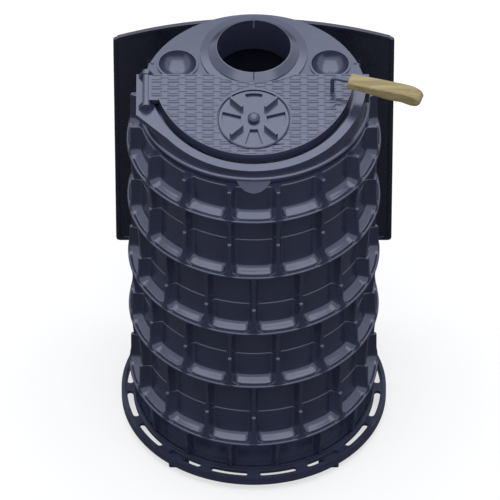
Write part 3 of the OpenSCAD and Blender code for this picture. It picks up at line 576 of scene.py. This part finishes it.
def ring_surface(index):
    """Angles of a ring casting's columns, with the height and outer radius of its places."""
    low, high, lip = SEAMS[index], SEAMS[index + 1], LIPS[index]
    under = lip - LIP_T
    columns = ring_columns()
    phi, z = np.meshgrid(columns, ring_rows(low, lip, high), indexing="ij")
    half = props().rib_half / MM
    across_low = rib_offset(phi, RIB_TURNS[index]) - half
    across_high = rib_offset(phi, RIB_TURNS[index + 1]) - half

    blend = np.clip(across_high / ROUND_BLEND, 0, 1)
    rounding = RIB_ROUND + (LIP_ROUND - RIB_ROUND) * blend * blend * (3 - 2 * blend)
    rim_r = LIP_R - rounding
    rise = np.clip(z - (lip - rounding), 0, rounding)
    foot = LIP_FOOT_IN * np.clip(1 - (z - under) / LIP_FOOT_H, 0, 1)
    rim = rim_r + np.sqrt(rounding**2 - rise**2) - foot

    over = above_lip(across_high, z - lip, rim_r)
    beneath = below_lip(across_low, z, low, under)
    radius = np.where(z >= lip, over, np.where(z <= under, beneath, rim))

    step = top_step(index, across_high, radius[:, -1:])
    turn = np.clip((z - (high - step)) / step, 0, 1)
    radius = radius - step * (1 - np.sqrt(1 - turn**2))

    inward = np.clip((rim_r - radius) / DIP_REACH, 0, 1)
    fade = np.clip((lip + DIP_TOP - z) / DIP_FADE, 0, 1)
    dip = SCOOP_DIP * np.sin(math.pi * inward) ** 2 * fade
    return columns, z - np.where(z >= lip, dip, 0), radius


def add_box(bm, centre, size):
    size = Matrix.Diagonal((*(Vector(size) * MM), 1.0))
    bmesh.ops.create_cube(bm, size=1.0, matrix=Matrix.Translation(Vector(centre) * MM) @ size)


def add_rod(bm, start, axis, radius, length):
    """A round bar from a point along an axis."""
    turn = Vector((0, 0, 1)).rotation_difference(Vector(axis)).to_matrix().to_4x4()
    along = Matrix.Translation((0, 0, length * MM / 2))
    bmesh.ops.create_cone(
        bm, cap_ends=True, segments=BOSS_SIDES, radius1=radius * MM, radius2=radius * MM,
        depth=length * MM, matrix=Matrix.Translation(Vector(start) * MM) @ turn @ along,
    )


def ring_mesh(index):
    """Closed mesh of a ring casting, with its bore and what is cast on to it."""
    columns, heights, radius = ring_surface(index)
    bore = [(BORE_R, SEAMS[index + 1]), (BORE_R, SEAMS[index])]
    if index == 0:
        ledge_r = BORE_R - LEDGE_W
        bore[1:1] = [
            (BORE_R, LEDGE_TOP), (ledge_r, LEDGE_TOP), (ledge_r, LEDGE_FOOT), (BORE_R, LEDGE_FOOT)
        ]
    count = len(columns)
    radius = np.concatenate([radius, np.tile([r for r, z in bore], (count, 1))], axis=1)
    z = np.concatenate([heights, np.tile([z for r, z in bore], (count, 1))], axis=1)
    x = radius * np.cos(columns)[:, None]
    y = radius * np.sin(columns)[:, None]
    verts = np.stack([x, y, z], axis=-1).reshape(-1, 3) * MM
    n = z.shape[1]
    i, j = np.arange(count)[:, None], np.arange(n)[None, :]
    i2, j2 = (i + 1) % count, (j + 1) % n
    faces = np.stack([i * n + j, i2 * n + j, i2 * n + j2, i * n + j2], axis=-1).reshape(-1, 4)
    mesh = bpy.data.meshes.new(f"ribbed_ring_{index + 1}")
    mesh.from_pydata(verts.tolist(), [], faces.tolist())
    bm = bmesh.new()
    bm.from_mesh(mesh)
    if index == REST_RING:
        for side in (-1, 1):
            add_box(bm, (side * REST_X, REST_Y, REST_Z), REST_SIZE)
    if index in BOSS_HEIGHTS:
        for side in (-1, 1):
            start = (side * BOSS_X, BOSS_Y, BOSS_HEIGHTS[index])
            add_rod(bm, start, (0, 1, 0), BOSS_R, BOSS_LENGTH)
    bm.to_mesh(mesh)
    bm.free()
    return mesh


class STOVE_OT_rings(bpy.types.Operator):
    """Makes the five ring castings with their coved pockets, ribs and lips"""

    bl_idname = "stove.rings"
    bl_label = "Ring Castings"

    def execute(self, context):
        for index in range(RINGS):
            piece(
                f"ribbed_ring_{index + 1}", ring_mesh(index), "stove", "blue_black_paint",
                f"body_ring_{index + 1}", sharp=48.0,
            )
        return {"FINISHED"}


class STOVE_OT_base(bpy.types.Operator):
    """Makes the slotted base ring with its four feet"""

    bl_idname = "stove.base"
    bl_label = "Base Ring"

    def execute(self, context):
        softened("base_ring")
        return {"FINISHED"}


def hood_bend(place):
    """Where a place on the hood goes: out and down in the moulding, in and down in the tongue."""
    radius = math.hypot(place.x, place.y)
    if radius > MOULDING_R and MOULDING_FOOT < place.z < MOULDING_TOP:
        grown = (HOOD_R + (radius - HOOD_R) * MOULDING_SWELL) / radius
        return Vector((place.x * grown, place.y * grown, place.z - MOULDING_SINK))
    in_tongue = place.y < 0 and abs(place.x) < TONGUE_HALF and place.z < TONGUE_TOP
    if in_tongue and radius > TONGUE_START_R:
        out = radius - TONGUE_ROOT_R
        shrunk = 1 - TONGUE_SHORTER * out / radius
        return Vector((place.x * shrunk, place.y * shrunk, place.z - out * TONGUE_DROOP))
    return place


class STOVE_OT_hood(bpy.types.Operator):
    """Makes the hood, the flue collar, the two bowls and the deck's screws"""

    bl_idname = "stove.hood"
    bl_label = "Hood and Collar"

    def execute(self, context):
        softened("hood", bend=hood_bend)
        for node in ("collar_left", "bowl_left", "collar_right", "bowl_right", "bowl_screws",
                     "deck_screws"):
            softened(node)
        return {"FINISHED"}


class STOVE_OT_hatch(bpy.types.Operator):
    """Makes the sloping hatch frame with its hinge lugs, and the hinge pin"""

    bl_idname = "stove.hatch"
    bl_label = "Hatch Frame"

    def execute(self, context):
        softened("hatch_frame")
        softened("hinge_pin")
        return {"FINISHED"}


def hatch_height(y, rise):
    """Height over the floor of a plan place that is this far above the frame's top face."""
    return HATCH_Z + y * math.tan(HATCH_TILT) + rise / math.cos(HATCH_TILT)


def takes_tread(cx, cy, deep):
    """Whether a shape of the tread with this place and depth has its middle on the lid."""
    y = cy + deep / 2
    on_lid = (
        math.hypot(cx, y) <= LID_R + LID_OVERHANG
        and y <= LID_BACK_Y + LID_OVERHANG
        and math.hypot(cx, y - NOTCH_Y) >= NOTCH_R - LID_OVERHANG
    )
    at_hinge = (
        TREAD_CORNER_X[0] < cx < TREAD_CORNER_X[1] and TREAD_CORNER_Y[0] < cy < TREAD_CORNER_Y[1]
    )
    under_dial = math.hypot(cx, y + DIAL_PLAN_Y) < DIAL_R + DIAL_OVERLAP
    return (on_lid or at_hinge) and not under_dial


def held_on_lid(x, y, margin):
    """The nearest plan place on the lid's top that is clear of its edges and of the dial."""
    if x < HINGE_CORNER_X and y > HINGE_CORNER_Y:
        left = HINGE_EDGE_X if y > HINGE_EDGE_Y else -LID_R
        return max(x, left), min(y, LID_BACK_Y - margin)
    edge_r, notch_r, dial_r = LID_R - margin, NOTCH_R + margin, DIAL_R + DIAL_GAP
    for _ in range(3):
        r = math.hypot(x, y)
        if r > edge_r:
            x, y = x * edge_r / r, y * edge_r / r
        y = min(y, LID_BACK_Y - margin)
        r = math.hypot(x, y - NOTCH_Y)
        if r < notch_r:
            x, y = x * notch_r / r, NOTCH_Y + (y - NOTCH_Y) * notch_r / r
        r = math.hypot(x, y + DIAL_PLAN_Y)
        if r < dial_r:
            grown = dial_r / max(r, 1.0)
            x, y = x * grown, -DIAL_PLAN_Y + (y + DIAL_PLAN_Y) * grown
    return x, y


def add_scale(bm, cx, cy, top, bottom, deep, height):
    """One shape of the tread: its lower edge is bowed, and its crown slopes down to the rear."""
    near, far, narrow = bottom / 4, bottom / 2, bottom / 2 - 0.4
    plan = (
        (-far, 0.5), (-near, 0.1), (0, 0.0), (near, 0.1), (far, 0.5),
        (narrow, 1.2), (top / 2, deep), (0, deep), (-top / 2, deep), (-narrow, 1.2),
    )
    foot = [held_on_lid(cx + x, cy + y, FOOT_MARGIN) for x, y in plan]
    crown = [
        held_on_lid(
            cx + x * CROWN_WIDTH, cy + CROWN_UP + (y - CROWN_FROM) * CROWN_DEPTH, CROWN_MARGIN
        )
        for x, y in plan
    ]
    rises = [height * (1 - CROWN_SLOPE * min(max((y - cy) / deep, 0), 1)) for x, y in crown]
    low = [
        bm.verts.new(Vector((x, y, hatch_height(y, LID_RISE - TREAD_SUNK))) * MM)
        for x, y in foot
    ]
    high = [
        bm.verts.new(Vector((x, y, hatch_height(y, LID_RISE + rise))) * MM)
        for (x, y), rise in zip(crown, rises)
    ]
    bm.faces.new(high)
    for k, k2 in zip(range(len(plan)), [*range(1, len(plan)), 0]):
        bm.faces.new((low[k], low[k2], high[k2], high[k]))


def tread_mesh():
    """Raised tread on the lid: staggered scales and bars, held inside the lid's edges."""
    height = props().tread / MM
    bm = bmesh.new()
    for row in TREAD_ROWS:
        for column in TREAD_COLUMNS:
            for dx, dy, top, bottom, deep in TREAD_SHAPES:
                cx = column * TREAD_PITCH[0] + dx + TREAD_PLACE[0]
                cy = -row * TREAD_PITCH[1] + dy + TREAD_PLACE[1]
                if takes_tread(cx, cy, deep):
                    add_scale(bm, cx, cy, top, bottom, deep, height)
    bmesh.ops.recalc_face_normals(bm, faces=bm.faces)
    mesh = bpy.data.meshes.new("lid_tread")
    bm.to_mesh(mesh)
    bm.free()
    mesh.validate()
    return mesh


class STOVE_OT_lid(bpy.types.Operator):
    """Makes the hatch lid with its tread, its liner, its screws and its rope seal"""

    bl_idname = "stove.lid"
    bl_label = "Hatch Lid"

    def execute(self, context):
        softened("lid")
        piece("lid_tread", tread_mesh(), "lid", "blue_black_paint", sharp=24.0)
        dressed("lid_liner", "bare_iron")
        dressed("lid_seal", "woven_rope")
        softened("liner_screws")
        return {"FINISHED"}


class STOVE_OT_dial(bpy.types.Operator):
    """Makes the air dial with its fins, its stud, its washer and its domed nut"""

    bl_idname = "stove.dial"
    bl_label = "Air Dial"

    def execute(self, context):
        for node in ("air_dial", "dial_nut", "dial_washer"):
            softened(node)
        dressed("dial_stud", "plain_steel")
        return {"FINISHED"}


def grip_mesh():
    """Wooden grip: level on top, with a finger swell below and a drooping round end."""
    verts, faces = [], []
    turn = Matrix.Rotation(-HANDLE_ANGLE, 3, "Z")
    base = Vector((ROD_X, -ROD_Y, HATCH_Z + ROD_RISE))
    for along, top, bottom, width in GRIP_STATIONS:
        half_h, half_w, mid = (top - bottom) / 2, width / 2, (top + bottom) / 2
        r = min(GRIP_ROUND, half_h * GRIP_ROUND_SHARE, half_w * GRIP_ROUND_SHARE)
        for side, up, start in ((1, 1, 0), (-1, 1, 90), (-1, -1, 180), (1, -1, 270)):
            for k in range(GRIP_CORNER_STEPS):
                a = math.radians(start + 90 * k / (GRIP_CORNER_STEPS - 1))
                y = side * (half_w - r) + r * math.cos(a)
                z = mid + up * (half_h - r) + r * math.sin(a)
                verts.append((base + turn @ Vector((GRIP_START + along, y, z))) * MM)
    n = GRIP_CORNER_STEPS * 4
    last = (len(GRIP_STATIONS) - 1) * n
    for i in range(0, last, n):
        for k in range(n):
            k2 = (k + 1) % n
            faces.append((i + k, i + n + k, i + n + k2, i + k2))
    faces.append(tuple(range(n)))
    faces.append(tuple(reversed(range(last, last + n))))
    mesh = bpy.data.meshes.new("wooden_grip")
    mesh.from_pydata([tuple(v) for v in verts], [], faces)
    bm = bmesh.new()
    bm.from_mesh(mesh)
    bmesh.ops.recalc_face_normals(bm, faces=bm.faces)
    bm.to_mesh(mesh)
    bm.free()
    return mesh


class STOVE_OT_handle(bpy.types.Operator):
    """Makes the bent rod and its wooden grip"""

    bl_idname = "stove.handle"
    bl_label = "Handle"

    def execute(self, context):
        softened("handle_rod")
        piece(
            "wooden_grip", grip_mesh(), "lid", "oiled_wood", "handle_grip", slot="grip_wood",
            sharp=50.0,
        )
        return {"FINISHED"}


class STOVE_OT_shield(bpy.types.Operator):
    """Makes the heat shield with its straps and bolts"""

    bl_idname = "stove.shield"
    bl_label = "Heat Shield"

    def execute(self, context):
        for node in ("heat_shield", "shield_strap_upper", "shield_strap_lower", "shield_bolts",
                     "strap_bolts"):
            softened(node)
        return {"FINISHED"}


class STOVE_OT_inside(bpy.types.Operator):
    """Makes the grate, the baffle and the floor plate, and finishes the seam seals"""

    bl_idname = "stove.inside"
    bl_label = "Inside"

    def execute(self, context):
        for node in ("grate", "baffle", "floor_plate"):
            softened(node)
        dressed("seam_seals", "woven_rope")
        return {"FINISHED"}


def soft_lamp(name, place, target, size, energy):
    """A large rectangular lamp that faces a target."""
    data = bpy.data.lights.new(name, "AREA")
    data.shape = "RECTANGLE"
    data.size, data.size_y = size
    data.energy = energy
    lamp = bpy.data.objects.new(name, data)
    lamp.location = place
    lamp.rotation_euler = (Vector(target) - Vector(place)).to_track_quat("-Z", "Y").to_euler()
    bpy.context.scene.collection.objects.link(lamp)


def pale_floor():
    """A floor that shows nearly white to the camera and is dark in reflections and bounces."""
    material = bpy.data.materials.new("pale_floor")
    material.use_nodes = True
    tree = material.node_tree
    tree.nodes.clear()
    link = tree.links.new
    out = tree.nodes.new("ShaderNodeOutputMaterial")
    path = tree.nodes.new("ShaderNodeLightPath")

    def surface(glow, colour):
        shown = add_node(material, "ShaderNodeEmission", Color=grey(1.0), Strength=glow)
        lit = add_node(material, "ShaderNodeBsdfDiffuse", Color=grey(colour))
        both = tree.nodes.new("ShaderNodeAddShader")
        link(lit.outputs[0], both.inputs[0])
        link(shown.outputs[0], both.inputs[1])
        return both

    def choose(ray, otherwise, chosen):
        mix = tree.nodes.new("ShaderNodeMixShader")
        link(path.outputs[ray], mix.inputs["Fac"])
        link(otherwise.outputs[0], mix.inputs[1])
        link(chosen.outputs[0], mix.inputs[2])
        return mix

    seen = surface(glow=0.62, colour=0.32)
    bounced, mirrored = surface(glow=0.01, colour=0.08), surface(glow=0.02, colour=0.06)
    around = choose("Is Glossy Ray", bounced, mirrored)
    behind = choose("Is Transmission Ray", around, seen)
    link(choose("Is Camera Ray", behind, seen).outputs[0], out.inputs["Surface"])
    return material


class STOVE_OT_stage(bpy.types.Operator):
    """Makes the floor, the soft light and the camera"""

    bl_idname = "stove.stage"
    bl_label = "Stage"

    def execute(self, context):
        scene = context.scene
        mesh = bpy.data.meshes.new("floor")
        corners = [
            (x * FLOOR_HALF, y * FLOOR_HALF, 0) for x, y in ((-1, -1), (1, -1), (1, 1), (-1, 1))
        ]
        mesh.from_pydata(corners, [], [(0, 1, 2, 3)])
        floor = bpy.data.objects.new("floor", mesh)
        floor.data.materials.append(pale_floor())
        scene.collection.objects.link(floor)
        world = bpy.data.worlds.new("studio")
        scene.world = world
        world.use_nodes = True
        back = world.node_tree.nodes["Background"]
        back.inputs["Color"].default_value = SKY_COLOUR
        back.inputs["Strength"].default_value = SKY_STRENGTH
        soft_lamp("over_lamp", LAMP_PLACE, LAMP_TARGET, LAMP_SIZE, LAMP_POWER)
        camera = bpy.data.cameras.new("camera")
        camera.lens = CAMERA_LENS
        camera.sensor_width = CAMERA_SENSOR
        camera.shift_x = CAMERA_SHIFT_X
        camera.clip_start, camera.clip_end = CAMERA_CLIP
        eye = bpy.data.objects.new("camera", camera)
        eye.location = (
            0.0,
            -CAMERA_AWAY * math.cos(CAMERA_DOWN),
            CAMERA_TARGET_Z + CAMERA_AWAY * math.sin(CAMERA_DOWN),
        )
        eye.rotation_euler = (math.pi / 2 - CAMERA_DOWN, 0.0, 0.0)
        scene.collection.objects.link(eye)
        scene.camera = eye
        scene.view_settings.view_transform = "Standard"
        return {"FINISHED"}


OPERATORS = (
    STOVE_OT_rings, STOVE_OT_base, STOVE_OT_hood, STOVE_OT_hatch, STOVE_OT_lid, STOVE_OT_dial,
    STOVE_OT_handle, STOVE_OT_shield, STOVE_OT_inside, STOVE_OT_stage,
)


class STOVE_PT_panel(bpy.types.Panel):
    """Lists the stove's pieces and their settings"""

    bl_idname = "STOVE_PT_panel"
    bl_label = "Sauna Stove"
    bl_space_type = "VIEW_3D"
    bl_region_type = "UI"
    bl_category = "Stove"

    def draw(self, context):
        for operator in OPERATORS:
            self.layout.operator(operator.bl_idname)
        for key in StoveProps.__annotations__:
            self.layout.prop(context.scene.stove, key)


def register():
    for item in (StoveProps, *OPERATORS, STOVE_PT_panel):
        bpy.utils.register_class(item)
    bpy.types.Scene.stove = bpy.props.PointerProperty(type=StoveProps)


def unregister():
    del bpy.types.Scene.stove
    for item in reversed((StoveProps, *OPERATORS, STOVE_PT_panel)):
        bpy.utils.unregister_class(item)


def main():
    register()
    bpy.ops.stove.rings()
    bpy.ops.stove.base()
    bpy.ops.stove.hood()
    bpy.ops.stove.hatch()
    bpy.ops.stove.lid()
    bpy.ops.stove.dial()
    bpy.ops.stove.handle()
    bpy.ops.stove.shield()
    bpy.ops.stove.inside()
    bpy.ops.stove.stage()


if __name__ == "__main__":
    main()
